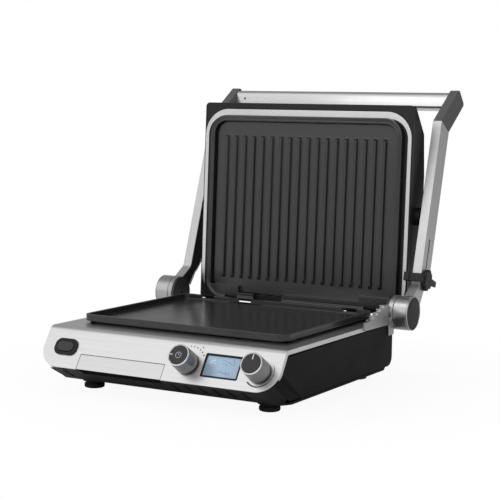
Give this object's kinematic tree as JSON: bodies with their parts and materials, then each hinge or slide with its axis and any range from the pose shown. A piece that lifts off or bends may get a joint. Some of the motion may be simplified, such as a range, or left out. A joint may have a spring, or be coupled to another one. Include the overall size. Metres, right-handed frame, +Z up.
{
  "type": "contact grill",
  "caption": "Countertop contact grill with a hinged lid on two arms, ribbed and flat lift-off plates, drip tray, dials, display and a height clip",
  "frame": {"origin": "on the table under the middle of the bounding box", "axes": "+Z up, +Y to the rear where the lid is hinged, +X to the right of someone who stands in front; the lid is open at rest"},
  "size_m": [0.3908, 0.5295, 0.3818],
  "materials": {
    "lower_housing": "black moulded plastic",
    "left_side_panel": "black textured plastic",
    "right_side_panel": "black textured plastic",
    "deck_cover": "satin stainless sheet",
    "rear_panel": "black plastic",
    "lower_heater_pan": "aluminised reflector tray",
    "lower_element": "sheathed heating tube",
    "power_board": "circuit board with its components",
    "control_board": "circuit board",
    "lcd_bezel": "black display frame",
    "lcd_window": "blue-grey display",
    "button_bezel": "black frame",
    "timer_knob_ring": "black plastic",
    "temperature_knob_ring": "black plastic",
    "timer_encoder": "grey component",
    "temperature_pot": "grey component",
    "foot_front_left": "black rubber",
    "foot_front_right": "black rubber",
    "foot_rear_left": "black rubber",
    "foot_rear_right": "black rubber",
    "left_hinge_bracket": "satin grey casting",
    "right_hinge_bracket": "satin grey casting",
    "left_hinge_pin": "dark steel",
    "right_hinge_pin": "dark steel",
    "plate_catches": "black plastic",
    "cable_gland": "black plastic",
    "tray_runners": "black moulded plastic",
    "tray_pan": "black plastic",
    "tray_front": "satin stainless",
    "left_arm_channel": "satin anodised channel",
    "right_arm_channel": "satin anodised channel",
    "left_arm_liner": "black plastic",
    "right_arm_liner": "black plastic",
    "left_hub": "turned, brushed round",
    "right_hub": "turned, brushed round",
    "left_hub_cap": "black plastic",
    "right_hub_cap": "black plastic",
    "left_handle_end": "dark grey plastic",
    "right_handle_end": "dark grey plastic",
    "handle_bar": "satin anodised tube",
    "left_pivot_pin": "steel",
    "right_pivot_pin": "steel",
    "lid_cover": "black moulded plastic",
    "lid_top_panel": "brushed stainless sheet",
    "lid_frame": "charcoal moulded plastic",
    "lid_ring": "satin stainless trim",
    "upper_heater_pan": "aluminised reflector tray",
    "upper_element": "sheathed heating tube",
    "upper_catches": "black plastic",
    "left_pivot_boss": "dark plastic",
    "right_pivot_boss": "dark plastic",
    "lid_release_button": "grey plastic",
    "upper_plate": "die-cast with a charcoal non-stick coat",
    "lower_plate": "die-cast with a charcoal non-stick coat",
    "height_clip": "dark plastic",
    "timer_shaft": "steel",
    "timer_knob": "satin grey",
    "temperature_knob": "satin grey",
    "plate_release_button": "dark plastic"
  },
  "bodies": {
    "base": {"lower_housing": "lower_housing", "left_side_panel": "left_side_panel", "right_side_panel": "right_side_panel", "deck_cover": "deck_cover", "rear_panel": "rear_panel", "lower_heater_pan": "lower_heater_pan", "lower_element": "lower_element", "power_board": "power_board", "control_board": "control_board", "lcd_bezel": "lcd_bezel", "lcd_window": "lcd_window", "button_bezel": "button_bezel", "timer_knob_ring": "timer_knob_ring", "temperature_knob_ring": "temperature_knob_ring", "timer_encoder": "timer_encoder", "temperature_pot": "temperature_pot", "foot_front_left": "foot_front_left", "foot_front_right": "foot_front_right", "foot_rear_left": "foot_rear_left", "foot_rear_right": "foot_rear_right", "left_hinge_bracket": "left_hinge_bracket", "right_hinge_bracket": "right_hinge_bracket", "left_hinge_pin": "left_hinge_pin", "right_hinge_pin": "right_hinge_pin", "plate_catches": "plate_catches", "cable_gland": "cable_gland", "tray_runners": "tray_runners"},
    "drip_tray": {"tray_pan": "tray_pan", "tray_front": "tray_front"},
    "arms": {"left_arm_channel": "left_arm_channel", "right_arm_channel": "right_arm_channel", "left_arm_liner": "left_arm_liner", "right_arm_liner": "right_arm_liner", "left_hub": "left_hub", "right_hub": "right_hub", "left_hub_cap": "left_hub_cap", "right_hub_cap": "right_hub_cap", "left_handle_end": "left_handle_end", "right_handle_end": "right_handle_end", "handle_bar": "handle_bar", "left_pivot_pin": "left_pivot_pin", "right_pivot_pin": "right_pivot_pin"},
    "lid": {"lid_cover": "lid_cover", "lid_top_panel": "lid_top_panel", "lid_frame": "lid_frame", "lid_ring": "lid_ring", "upper_heater_pan": "upper_heater_pan", "upper_element": "upper_element", "upper_catches": "upper_catches", "left_pivot_boss": "left_pivot_boss", "right_pivot_boss": "right_pivot_boss"},
    "lid_button": {"lid_release_button": "lid_release_button"},
    "upper_grill_plate": {"upper_plate": "upper_plate"},
    "lower_grill_plate": {"lower_plate": "lower_plate"},
    "clip": {"height_clip": "height_clip"},
    "timer_push": {"timer_shaft": "timer_shaft"},
    "timer_dial": {"timer_knob": "timer_knob"},
    "temperature_dial": {"temperature_knob": "temperature_knob"},
    "plate_button": {"plate_release_button": "plate_release_button"}
  },
  "joints": [
    {"name": "arm_hinge", "type": "hinge", "parent": "base", "child": "arms", "pos_m": [0, 0.07635, 0.0892], "axis": [1, 0, 0], "range_deg": [0, 109]},
    {"name": "lid_tilt", "type": "hinge", "parent": "arms", "child": "lid", "pos_m": [0, 0.15228, 0.21044], "axis": [1, 0, 0], "range_deg": [-17, 0]},
    {"name": "lid_button_press", "type": "slide", "parent": "lid", "child": "lid_button", "axis": [0, -0.7887, -0.6148], "range_m": [0, 0.003], "stiffness_N_per_m": 400},
    {"name": "upper_plate_lift", "type": "slide", "parent": "lid", "child": "upper_grill_plate", "axis": [0, 0.9992, -0.0403], "range_m": [-0.045, 0]},
    {"name": "lower_plate_lift", "type": "slide", "parent": "base", "child": "lower_grill_plate", "axis": [0, 0, -1], "range_m": [-0.06, 0]},
    {"name": "clip_slide", "type": "slide", "parent": "arms", "child": "clip", "axis": [-0.0126, 0.299, 0.9542], "range_m": [0, 0.044]},
    {"name": "tray_slide", "type": "slide", "parent": "base", "child": "drip_tray", "axis": [0, -1, 0], "range_m": [0, 0.26]},
    {"name": "timer_press", "type": "slide", "parent": "base", "child": "timer_push", "axis": [0, 0.8406, -0.5417], "range_m": [0, 0.0015], "stiffness_N_per_m": 400},
    {"name": "timer_turn", "type": "hinge", "parent": "timer_push", "child": "timer_dial", "pos_m": [0.044, -0.23743, 0.0556], "axis": [0, 0.8406, -0.5417], "continuous": true},
    {"name": "temperature_turn", "type": "hinge", "parent": "base", "child": "temperature_dial", "pos_m": [0.1415, -0.23743, 0.0556], "axis": [0, 0.8406, -0.5417], "range_deg": [-150, 150]},
    {"name": "plate_button_press", "type": "slide", "parent": "base", "child": "plate_button", "axis": [0, 0.8406, -0.5417], "range_m": [0, 0.003], "stiffness_N_per_m": 400}
  ],
  "couplings": [
    {"joint": "lid_tilt", "follows": "arm_hinge", "ratio": -0.15312}
  ]
}
